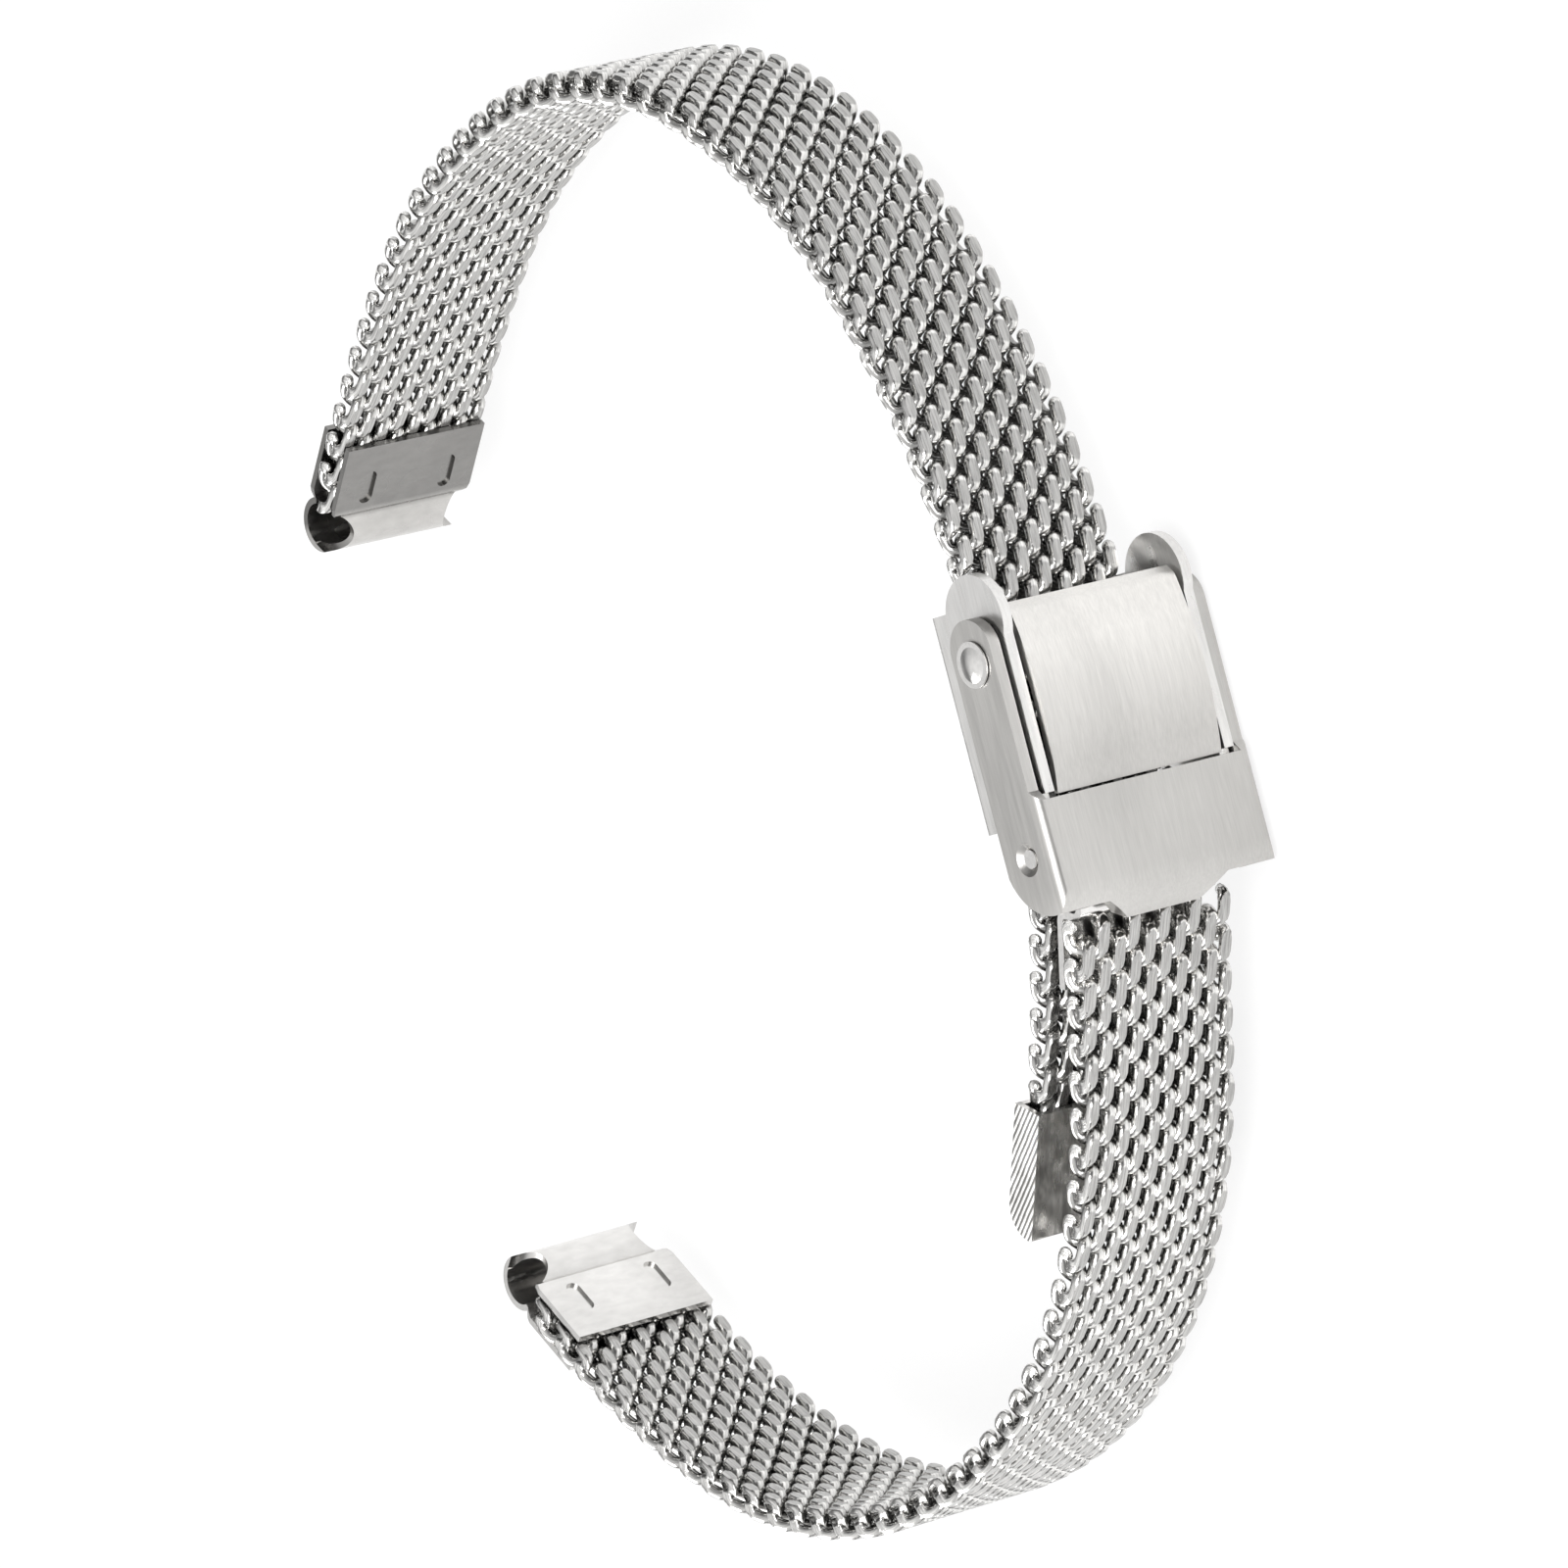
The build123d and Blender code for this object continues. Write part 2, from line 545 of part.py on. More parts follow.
os.makedirs("parts", exist_ok=True)

slider_channel()
pivot_pin()
lock_plate()
cover()
hook_pin()

# Long strap: the rows inside the channel, then the stretches that bend, up to the watch case
channel_start = Station(CHANNEL_START_X, 0, 0)
here = mesh_stretch("long_mesh_clasp", channel_start, CHANNEL_TURNS, ROW_GAP, BEND_GAP)
rows = row_count(CHANNEL_TURNS)
for number, runs in enumerate(LONG_TURNS, 1):
    tell(f"long_bend_{number}", here)
    last_gap = ROW_GAP if number == len(LONG_TURNS) else BEND_GAP
    here = mesh_stretch(f"long_mesh_{number}", here, runs, BEND_GAP, last_gap, rows)
    rows += row_count(runs)
tell("long mesh end", here)
bar_fitting("long_bar_fitting", here, 1)
tell("long_bar_tube", shifted(here, FITTING_MARGIN + TUBE_CENTRE, 0))

# The long strap's free end leaves the channel the other way, inside the short strap
free_root = channel_start._replace(heading=180)
here = mesh_stretch("long_mesh_heel", free_root, FREE_END_ROOT_TURNS, ROW_GAP, BEND_GAP)
tell("free_end_bend", here)
rows = row_count(FREE_END_ROOT_TURNS)
here = mesh_stretch(
    "long_mesh_free_end", here, FREE_END_TURNS, BEND_GAP, ROW_GAP, rows, PRESSED_ROWS
)
tell("free mesh end", here)
free_end_cap(here)

# Short strap, from its hook to the watch case, where its last row is a single spiral
here = short_start()
tell("short mesh start", here)
short_hook(here)
rows = 0
for number, runs in enumerate(SHORT_TURNS, 1):
    if number > 1:
        tell(f"short_bend_{number - 1}", here)
    first_gap = ROW_GAP if number == 1 else BEND_GAP
    last_gap = ROW_GAP + ROW_PITCH if number == len(SHORT_TURNS) else BEND_GAP
    here = mesh_stretch(f"short_mesh_{number}", here, runs, first_gap, last_gap, rows)
    rows += row_count(runs)
short_end = shifted(here, -ROW_PITCH / 2, 0)
tell("short mesh end", short_end)
bar_fitting("short_bar_fitting", short_end, -1)
tell("short_bar_tube", shifted(short_end, FITTING_MARGIN + TUBE_CENTRE, 0))
print(f"pivot: x {CLASP_X + PIVOT_X:.3f}  y {CLASP_Y + PIVOT_Y:.3f}   middle z {MID_Z:.3f}")
print(f"hook pin: x {CLASP_X + HOOK_PIN_X:.3f}  y {CLASP_Y + HOOK_PIN_Y:.3f}")
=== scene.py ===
import json
import math
from collections import namedtuple

import bpy
import numpy as np
from mathutils import Matrix, Vector


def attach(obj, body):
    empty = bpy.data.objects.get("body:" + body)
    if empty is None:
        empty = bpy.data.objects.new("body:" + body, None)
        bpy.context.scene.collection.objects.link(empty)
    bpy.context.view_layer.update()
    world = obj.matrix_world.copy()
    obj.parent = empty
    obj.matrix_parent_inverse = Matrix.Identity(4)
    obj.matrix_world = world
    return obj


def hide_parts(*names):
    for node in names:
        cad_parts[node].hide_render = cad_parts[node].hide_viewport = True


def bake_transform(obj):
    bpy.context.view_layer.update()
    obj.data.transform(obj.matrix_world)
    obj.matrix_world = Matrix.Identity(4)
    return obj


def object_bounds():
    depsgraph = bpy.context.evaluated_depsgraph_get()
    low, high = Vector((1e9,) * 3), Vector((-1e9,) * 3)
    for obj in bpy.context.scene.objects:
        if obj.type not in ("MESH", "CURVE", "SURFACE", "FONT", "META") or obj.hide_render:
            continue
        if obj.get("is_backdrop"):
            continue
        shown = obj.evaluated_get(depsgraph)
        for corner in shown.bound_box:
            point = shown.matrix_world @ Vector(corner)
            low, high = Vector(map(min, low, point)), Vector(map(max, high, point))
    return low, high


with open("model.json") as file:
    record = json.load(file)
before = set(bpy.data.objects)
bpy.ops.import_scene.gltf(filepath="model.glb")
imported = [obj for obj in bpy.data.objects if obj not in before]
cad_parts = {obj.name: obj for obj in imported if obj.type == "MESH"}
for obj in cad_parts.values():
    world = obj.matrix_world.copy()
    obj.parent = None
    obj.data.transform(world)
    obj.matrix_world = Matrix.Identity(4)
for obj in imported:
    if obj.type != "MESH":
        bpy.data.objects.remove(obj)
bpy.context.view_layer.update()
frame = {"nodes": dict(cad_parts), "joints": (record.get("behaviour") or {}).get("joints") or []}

# The scene is in metres, and the sizes below are in millimetres times MM
MM = 0.001

# Places that the frame gives: the clasp's zero, on the long strap's middle line inside the clasp
JOINTS = {joint["name"]: joint for joint in frame["joints"]}
PIVOT = Vector(JOINTS["cover_hinge"]["pos_m"])
PIVOT_FROM_CLASP = Vector((5.42, -1.94, 0)) * MM
CLASP = PIVOT - PIVOT_FROM_CLASP
MID_Z = CLASP.z

# Camera, as the photograph's perspective gives it
CAMERA_TARGET = CLASP + Vector((0, 25, 0)) * MM
CAMERA_ELEVATION = math.radians(35.06)
CAMERA_AZIMUTH = math.radians(-1.3)
CAMERA_ROLL = math.radians(-103.84)
CAMERA_DISTANCE = 411.6 * MM
CAMERA_SIDE_STEP = 1.01 * MM
CAMERA_UP_STEP = 3.45 * MM
CAMERA_FOCAL_PX = 9486
PHOTO_PX = 1600
SENSOR_MM = 36
# Nearest and farthest that the camera sees, in metres
CAMERA_NEAR, CAMERA_FAR = 0.01, 20

# Floor: half its size in metres, its grey in bounced light, and the grey and the glow that the
# steel and the camera see
FLOOR_REACH = 4.0
FLOOR_GREY = 0.5
FLOOR_IN_STEEL = (0.6, 0.4)
FLOOR_IN_CAMERA = (0.22, 0.8)

# Room that the steel mirrors: its levels from the horizon, 0, to straight up, 1, and the span of
# directions along X in which it dims, with the share at each end
ROOM_LEVELS = ((0.04, 1), (0.14, 0.3), (0.34, 0.16), (0.55, 0.8), (0.8, 0.95), (1, 0.9))
ROOM_SPAN = (0.05, 0.55)
ROOM_SHARES = (1.0, 0.5)

# Square lamps: the side of them all, and each one's place in metres and power in watts
LAMP_SIDE = 0.3
LAMPS = {
    "key": ((-0.24, -0.33, 0.46), 1.6),
    "fill": ((0.08, -0.36, 0.5), 1.15),
    "back": ((-0.3, 0.5, 0.35), 1.6),
}

# Woven mesh: spirals of wire side by side, each threaded through the last
MESH_WIDTH = 8.0 * MM
MESH_THICKNESS = 1.44 * MM
CAP_THICKNESS = 1.0 * MM
SPIRAL_STEP = 0.82 * MM
LONG_TURNS, LONG_TURN_PITCH = 4.5, 1.8 * MM
SHORT_TURNS, SHORT_TURN_PITCH = 5, 1.64 * MM
SPIRAL_HALF_LENGTH = 0.62 * MM
WIRE_RADIUS = 0.285 * MM
# Exponent that squares a spiral, seen from the mesh's edge: 1 is an ellipse
SPIRAL_EXPONENT = 0.75
# How much slower than on average a spiral moves across the mesh while it runs over a face
FACE_STEADINESS = 0.55
# How deep the faces are ground, and how far the middle of each ground flat stands proud
FACE_GRIND = 0.095 * MM
PRESSED_GRIND = 0.2 * MM
FLAT_DOME = 0.02 * MM
# Half angle, in radians, between the first three vertices of a ring of wire that isn't ground
LEAST_FLAT = 0.12
# A ring's rise is how far it reaches outward, in radii: none where the wire itself runs outward.
# The ring turns its flat outward as its rise grows from this start over this span
RISE_START, RISE_SPAN = 0.45, 0.3
# Least reach of a ring outward, which keeps a division from zero
TINY = 1e-9
# How much thicker the wire is in the middle of the mesh's thickness. The swell is left out over
# the selvedge, at the mesh's two edges, and comes in over as much again
CORE_SWELL = 0.38
SELVEDGE = 0.5 * MM
# Rings of wire in a turn, and vertices in a ring
TURN_STEPS = 24
WIRE_SIDES = 14
# Spirals that bend on each side of a joint
BEND_ROWS = 2
# Spirals pressed flat beside the hook, in the free end's cap, and darkened with painted shade in
# the clasp
PRESSED_SPIRALS = 4
CAP_SPIRALS = 3
PAINTED_SHADE_SPIRALS = 5
# Factors on the depth that the wire's painted shade follows: in the clasp, where painted shade
# darkens the spirals, and for the rows pressed beside the hook, which it leaves bright to their
# roots
CLASP_PAINTED_SHADE = 0.15
PRESSED_LIGHT = 3
# The mesh's two edges are left out of the painted shade: the higher this power, the narrower that
# strip
UNSHADED_EDGE_POWER = 14
# Drawn lines: the length of a streak, how fine they are round the wire, and how far along the
# next spiral's lines are shifted
LINE_LENGTH = 1.2 * MM
LINES_ROUND = 3.4
LINES_SHIFT = 7.3

# How the mesh lies: runs of rows of two spirals, with the degrees that each run turns
ROW_PITCH = 2 * SPIRAL_STEP
LONG_START_X = -1.84 * MM
LONG_RUNS = [(6, 0), (1, 6), (8, 18.7), (8, 32.4), (8, 40.6), (8, 28.9), (6, 7.3), (2, 0)]
FREE_END_RUNS = [(1, -11), (1, -11), (2, 0), (2, -6.5), (3, 0)]
SHORT_RUNS = [(4, 0), (5, -16.4), (7, -28.4), (7, -25.7), (7, -29.9), (7, -17.4), (2, 0)]
SHORT_START = Vector((-6.395, -1.441, 0)) * MM
SHORT_HEADING = 159.7
# Spirals of the long strap inside the clasp, and of each of its stretches outward from there
CLASP_SPIRALS = 14
LONG_SPIRALS = (16, 16, 16, 16, 16)
# Spirals of the long strap's free end, with those of them that the clasp holds
FREE_SPIRALS = 17
HELD_SPIRALS = 2
# Spirals of each of the short strap's stretches, from the hook outward
SHORT_SPIRALS = (18, 14, 14, 14, 17)

# Noise: how rough it is, its detail where it is fine and where it is plain, and the spans of its
# value over which a fine and a slow change run
NOISE_ROUGHNESS = 0.6
FINE_DETAIL, PLAIN_DETAIL = 3.0, 1.0
FINE_SPAN = (0.3, 0.7)
SLOW_SPAN = (0.35, 0.65)

# Satin steel: how much its streaks and its clouds change the tone, the clouds in grains a metre,
# and how far its roughness goes either way
STREAK = 0.06
CLOUD = 0.07
CLOUD_SCALE = (110, 110, 160)
SMOOTHER, ROUGHER = 0.05, 0.06
# Grains: a fine and a coarse noise, each in grains a metre along X, Y and Z, and a depth
PLATE_GRAIN = ((700, 14000, 14000), (250, 4000, 4000), 0.003 * MM)
ARM_GRAIN = ((900, 9000, 9000), (400, 1500, 1500), 0.002 * MM)
FITTING_GRAIN = ((2500, 2500, 1200), (700, 700, 500), 0.003 * MM)
PIN_GRAIN = ((4000, 4000, 4000), (900, 900, 900), 0.002 * MM)
# Painted light and shade along X: a place on the clasp's X axis in mm and the steel's lightness
# there, and another such pair
LOCK_PAINTED_LIGHT = ((0.5, 0.91), (5.5, 1.22))
COVER_PAINTED_LIGHT = ((-7.5, 1.2), (-4.5, 0.95))
# The long strap's fitting has painted shade on its flat leaf, and is lighter on its tube, up to
# where the leaf begins
LEAF_PAINTED_SHADE = ((20.2, 2.1), (20.6, 1.0))

# Wire: its painted shade by depth, the tone and the roughness along its drawn lines, and how its
# ground flats differ: darker with painted shade, and rougher
WIRE_COLOR = (0.92, 0.91, 0.89)
DEPTH_PAINTED_SHADE = ((0.35, 0.45), (0.96, 1))
LINE_SHARES = (0.66, 1.06)
LINE_ROUGHNESS = (0.2, 0.1)
LINE_DEPTH = 0.01 * MM
GROUND_SPAN = (0.5, 1.0)
FLAT_PAINTED_SHADE = 0.58
GROUND_ROUGHER = 0.08

# Cap: the colour and the roughness of its steel
CAP_COLOR = (0.66, 0.65, 0.63)
CAP_ROUGHNESS = 0.3
# The cap's file marks: the direction across them, their scale, how much they waver, their depth,
# and how much they darken the steel
FILE_HEADING = math.radians(38.5)
FILE_SCALE = 1300
FILE_WAVER = 0.6
FILE_DEPTH = 0.03 * MM
FILE_SHARE = 0.75
# The cap's smears: their scale, depth, tones from dark to light, and change of roughness
SMEAR_SCALE = (400, 400, 1300)
SMEAR_DEPTH = 0.006 * MM
SMEAR_SPAN = (0.36, 0.64)
SMEAR_SHARES = (0.45, 1.5)
SMEAR_ROUGHER, SMEAR_SMOOTHER = 0.08, 0.1
# The cap's two sides are where its normal turns to Z over this span, and are this much lighter
SIDE_SPAN = (0.6, 0.8)
SIDE_SHARE = 0.65

# Bevels that catch the light on the rigid pieces, at edges sharper than an angle
BEVEL = 0.05 * MM
BEVEL_SEGMENTS = 2
BEVEL_ANGLE = math.radians(35)


# Materials

def value_node(tree, kind, **inputs):
    """Add a shader node and set inputs of it by name."""
    node = tree.nodes.new(kind)
    for name, value in inputs.items():
        node.inputs[name].default_value = value
    return node


def math_node(tree, operation, *inputs):
    """Math node from sockets and numbers."""
    node = tree.nodes.new("ShaderNodeMath")
    node.operation = operation
    for socket, value in zip(node.inputs, inputs):
        if isinstance(value, (int, float)):
            socket.default_value = value
        else:
            tree.links.new(value, socket)
    return node.outputs[0]


def map_range(tree, value, low, high, to_low, to_high):
    """Map Range node, clamped."""
    node = value_node(tree, "ShaderNodeMapRange", **{
        "From Min": low, "From Max": high, "To Min": to_low, "To Max": to_high})
    tree.links.new(value, node.inputs["Value"])
    return node.outputs["Result"]


def parts(tree, vector):
    """The X, Y and Z sockets of a vector."""
    node = tree.nodes.new("ShaderNodeSeparateXYZ")
    tree.links.new(vector, node.inputs[0])
    return node.outputs


def attribute(tree, name):
    """Attribute node for what the wire's vertices carry under a name."""
    node = tree.nodes.new("ShaderNodeAttribute")
    node.attribute_name = name
    return node


def noise(tree, vector, scale, detail):
    """Noise texture's value, at so many grains a metre along X, Y and Z."""
    stretch = value_node(tree, "ShaderNodeMapping", Scale=scale)
    tree.links.new(vector, stretch.inputs["Vector"])
    node = value_node(tree, "ShaderNodeTexNoise", Scale=1.0, Detail=detail,
                      Roughness=NOISE_ROUGHNESS)
    tree.links.new(stretch.outputs["Vector"], node.inputs["Vector"])
    return node.outputs["Fac"]


def bump(tree, height, distance, normal=None):
    """Bump of a height from 0 to 1, in metres."""
    node = value_node(tree, "ShaderNodeBump", Strength=1.0, Distance=distance)
    tree.links.new(height, node.inputs["Height"])
    if normal:
        tree.links.new(normal, node.inputs["Normal"])
    return node.outputs["Normal"]


def tinted(tree, color, share):
    """A colour, or a colour from a socket, times a share from a socket."""
    node = tree.nodes.new("ShaderNodeVectorMath")
    node.operation = "SCALE"
    if isinstance(color, tuple):
        node.inputs[0].default_value = color
    else:
        tree.links.new(color, node.inputs[0])
    tree.links.new(share, node.inputs["Scale"])
    return node.outputs["Vector"]


def grey(level):
    """Opaque grey of a level."""
    return (level, level, level, 1)


def grey_ramp(tree, value, levels):
    """Colour Ramp of greys, from pairs of a position and a level in order."""
    node = tree.nodes.new("ShaderNodeValToRGB")
    stops = node.color_ramp.elements
    for stop, (position, level) in zip((stops[0], stops[1]), (levels[0], levels[-1])):
        stop.position = position
        stop.color = grey(level)
    for position, level in levels[1:-1]:
        stops.new(position).color = grey(level)
    tree.links.new(value, node.inputs["Fac"])
    return node.outputs["Color"]


def switched(tree, switch, shader, other):
    """Mix Shader that gives the other shader where the switch is 1."""
    node = tree.nodes.new("ShaderNodeMixShader")
    tree.links.new(switch, node.inputs[0])
    tree.links.new(shader.outputs[0], node.inputs[1])
    tree.links.new(other.outputs[0], node.inputs[2])
    return node


def metal(name, roughness):
    """A bare steel material, with its node tree and shader."""
    material = bpy.data.materials.new(name)
    material.use_nodes = True
    tree = material.node_tree
    shader = tree.nodes["Principled BSDF"]
    shader.inputs["Metallic"].default_value = 1.0
    shader.inputs["Roughness"].default_value = roughness
    return material, tree, shader


def brushed(name, color, roughness, grain, painted_light=None):
    """Satin steel with a fine grain, and lighter or darker along X with painted light and shade,
    where given.
    """
    material, tree, shader = metal(name, roughness)
    fine_scale, coarse_scale, depth = grain
    place = tree.nodes.new("ShaderNodeTexCoord").outputs["Object"]
    fine = noise(tree, place, fine_scale, FINE_DETAIL)
    coarse = noise(tree, place, coarse_scale, PLAIN_DETAIL)
    slow = noise(tree, place, CLOUD_SCALE, PLAIN_DETAIL)
    share = math_node(tree, "MULTIPLY",
                      map_range(tree, fine, *FINE_SPAN, 1 - STREAK, 1 + STREAK),
                      map_range(tree, slow, *SLOW_SPAN, 1 - CLOUD, 1 + CLOUD))
    share = math_node(tree, "MULTIPLY", share,
                      map_range(tree, coarse, *FINE_SPAN, 1 - STREAK / 2, 1 + STREAK / 2))
    # Painted light and shade: the steel lightens or darkens between two places along X
    if painted_light:
        (start, start_share), (end, end_share) = painted_light
        painted = map_range(tree, parts(tree, place)["X"], CLASP.x + start * MM, CLASP.x + end * MM,
                         start_share, end_share)
        share = math_node(tree, "MULTIPLY", share, painted)
    tree.links.new(tinted(tree, color, share), shader.inputs["Base Color"])
    rough = map_range(tree, coarse, *FINE_SPAN, roughness - SMOOTHER, roughness + ROUGHER)
    tree.links.new(rough, shader.inputs["Roughness"])
    tree.links.new(bump(tree, fine, depth), shader.inputs["Normal"])
    return material


def drawn_wire():
    """Bright wire with drawn lines along it, rougher on its flats, with painted shade on its flats
    and in the weave's depth.
    """
    material, tree, shader = metal("wire_steel", LINE_ROUGHNESS[0])
    lines = noise(tree, attribute(tree, "lay").outputs["Vector"], (1, 1, 1), FINE_DETAIL)
    ground = attribute(tree, "ground").outputs["Fac"]
    # Painted shade: the wire darkens towards the middle of the mesh's thickness, and more in the
    # clasp
    painted_shade = grey_ramp(tree, attribute(tree, "depth").outputs["Fac"], DEPTH_PAINTED_SHADE)
    share = math_node(tree, "MULTIPLY", painted_shade, map_range(tree, lines, *SLOW_SPAN, *LINE_SHARES))
    # Painted shade darkens the ground flats
    share = math_node(tree, "MULTIPLY", share,
                      map_range(tree, ground, *GROUND_SPAN, 1.0, FLAT_PAINTED_SHADE))
    tree.links.new(tinted(tree, WIRE_COLOR, share), shader.inputs["Base Color"])
    rough = math_node(tree, "ADD", map_range(tree, lines, *SLOW_SPAN, *LINE_ROUGHNESS),
                      map_range(tree, ground, *GROUND_SPAN, 0.0, GROUND_ROUGHER))
    tree.links.new(rough, shader.inputs["Roughness"])
    tree.links.new(bump(tree, lines, LINE_DEPTH), shader.inputs["Normal"])
    return material


def filed_cap():
    """Smeared dull steel, with file marks aslant on the two side faces of the cap."""
    material, tree, shader = metal("cap_steel", CAP_ROUGHNESS)
    place = tree.nodes.new("ShaderNodeTexCoord").outputs["Object"]
    turned = value_node(tree, "ShaderNodeMapping", Rotation=(0, 0, -FILE_HEADING))
    tree.links.new(place, turned.inputs["Vector"])
    wave = value_node(tree, "ShaderNodeTexWave", Scale=FILE_SCALE, Distortion=FILE_WAVER,
                      Detail=PLAIN_DETAIL)
    wave.bands_direction = "X"
    tree.links.new(turned.outputs["Vector"], wave.inputs["Vector"])
    normal = tree.nodes.new("ShaderNodeNewGeometry").outputs["Normal"]
    side = map_range(tree, math_node(tree, "ABSOLUTE", parts(tree, normal)["Z"]),
                     *SIDE_SPAN, 0.0, 1.0)
    marks = math_node(tree, "MULTIPLY", wave.outputs["Fac"], side)
    smears = noise(tree, place, SMEAR_SCALE, FINE_DETAIL)
    share = math_node(tree, "SUBTRACT", map_range(tree, smears, *SMEAR_SPAN, *SMEAR_SHARES),
                      math_node(tree, "MULTIPLY", marks, FILE_SHARE))
    share = math_node(tree, "ADD", share, math_node(tree, "MULTIPLY", side, SIDE_SHARE))
    tree.links.new(tinted(tree, CAP_COLOR, share), shader.inputs["Base Color"])
    rough = map_range(tree, smears, *FINE_SPAN, CAP_ROUGHNESS + SMEAR_ROUGHER,
                      CAP_ROUGHNESS - SMEAR_SMOOTHER)
    tree.links.new(rough, shader.inputs["Roughness"])
    grain = bump(tree, smears, SMEAR_DEPTH)
    tree.links.new(bump(tree, marks, FILE_DEPTH, grain), shader.inputs["Normal"])
    return material


wire_steel = drawn_wire()
lock_steel = brushed("lock_steel", (0.62, 0.608, 0.588), 0.34, PLATE_GRAIN, LOCK_PAINTED_LIGHT)
cover_steel = brushed("cover_steel", (0.57, 0.56, 0.542), 0.34, PLATE_GRAIN, COVER_PAINTED_LIGHT)
arm_steel = brushed("arm_steel", (0.75, 0.742, 0.728), 0.3, ARM_GRAIN)
bright_fitting = brushed("bright_fitting", (0.7, 0.69, 0.675), 0.22, FITTING_GRAIN)
# The long strap's fitting: steel darkened with painted shade on its leaf, lighter on its tube
painted_shade_fitting = brushed("painted_shade_fitting", (0.26, 0.255, 0.247), 0.26, FITTING_GRAIN, LEAF_PAINTED_SHADE)
pin_steel = brushed("pin_steel", (0.78, 0.77, 0.755), 0.2, PIN_GRAIN)
cap_steel = filed_cap()


# Strap paths

def path(start, heading, runs):
    """Middle line of a strap: distance, X, Y and heading in radians at the ends of its rows."""
    stations = [(0.0, start.x, start.y, math.radians(heading))]
    for count, turn in runs:
        step = math.radians(turn) / count
        for _ in range(count):
            s, x, y, h = stations[-1]
            chord = ROW_PITCH * (math.sin(step / 2) / (step / 2) if step else 1)
            stations.append((s + ROW_PITCH, x + chord * math.cos(h + step / 2),
                             y + chord * math.sin(h + step / 2), h + step))
    return np.array(stations)


def along(line, s):
    """X, Y and heading at distances along a strap's middle line."""
    row = np.clip(np.searchsorted(line[:, 0], s, side="right") - 1, 0, len(line) - 2)
    a = line[row]
    b = line[row + 1]
    part = (s - a[..., 0]) / ROW_PITCH
    turn = b[..., 3] - a[..., 3]
    inside = np.clip(part, 0, 1)
    half = turn * inside / 2
    chord = ROW_PITCH * inside * np.sinc(half / math.pi)
    x = a[..., 1] + chord * np.cos(a[..., 3] + half)
    y = a[..., 2] + chord * np.sin(a[..., 3] + half)
    heading = a[..., 3] + turn * inside
    spare = (part - inside) * ROW_PITCH
    return x + spare * np.cos(heading), y + spare * np.sin(heading), heading


# Wires of the weave

def spiral_line(odd, lean, turns, pitch, wire_half):
    """Middle line of a spiral's wire as (along, out, across), and two normals at each place.

    The first normal points away from the spiral's own axis."""
    count = round(turns * TURN_STEPS) + 1
    angle = np.linspace(0, 2 * math.pi * turns, count)
    if odd:
        angle = angle - math.pi
    steady = angle + FACE_STEADINESS * np.sin(2 * angle) / 2
    c = np.cos(angle)
    s = np.sin(angle)
    length = SPIRAL_HALF_LENGTH * np.sign(c) * np.abs(c) ** SPIRAL_EXPONENT
    out = wire_half * np.sign(s) * np.abs(s) ** SPIRAL_EXPONENT
    across = pitch * steady / (2 * math.pi)
    if odd:
        across = across + pitch / 2
    across = across - turns * pitch / 2
    line = np.stack([length * lean, out, across], 1)
    tangent = np.gradient(line, axis=0)
    tangent /= np.linalg.norm(tangent, axis=1)[:, None]
    middle = np.stack([lean * c, s, np.zeros(count)], 1)
    normal = middle - tangent * (middle * tangent).sum(1)[:, None]
    normal /= np.linalg.norm(normal, axis=1)[:, None]
    return line, normal, np.cross(tangent, normal)


def ring_angles(out, normal, side, half):
    """Angles of the vertices round each ring of wire, and half the angle of each ground flat.

    A ring's first three vertices are its flat: an edge, the middle and the other edge. Where the
    ring would pass the mesh's face, the two edges lie on the face."""
    face = np.where(out < 0, -1, 1)
    rise = np.hypot(normal[:, 1], side[:, 1])
    top = np.arctan2(side[:, 1] * face, normal[:, 1] * face)
    top = top * np.clip((rise - RISE_START) / RISE_SPAN, 0, 1)
    top = top[:, None]
    reach = (half - FLAT_DOME - np.abs(out)) / np.maximum(WIRE_RADIUS * rise, TINY)
    flat = np.arccos(np.clip(reach, -1, 1))
    edge = np.maximum(flat, LEAST_FLAT)[:, None]
    back = np.linspace(0, 1, WIRE_SIDES - 1)[1:-1]
    angles = np.concatenate([top - edge, top, top + edge,
                             top + edge + back * (2 * math.pi - 2 * edge)], 1)
    return angles, flat


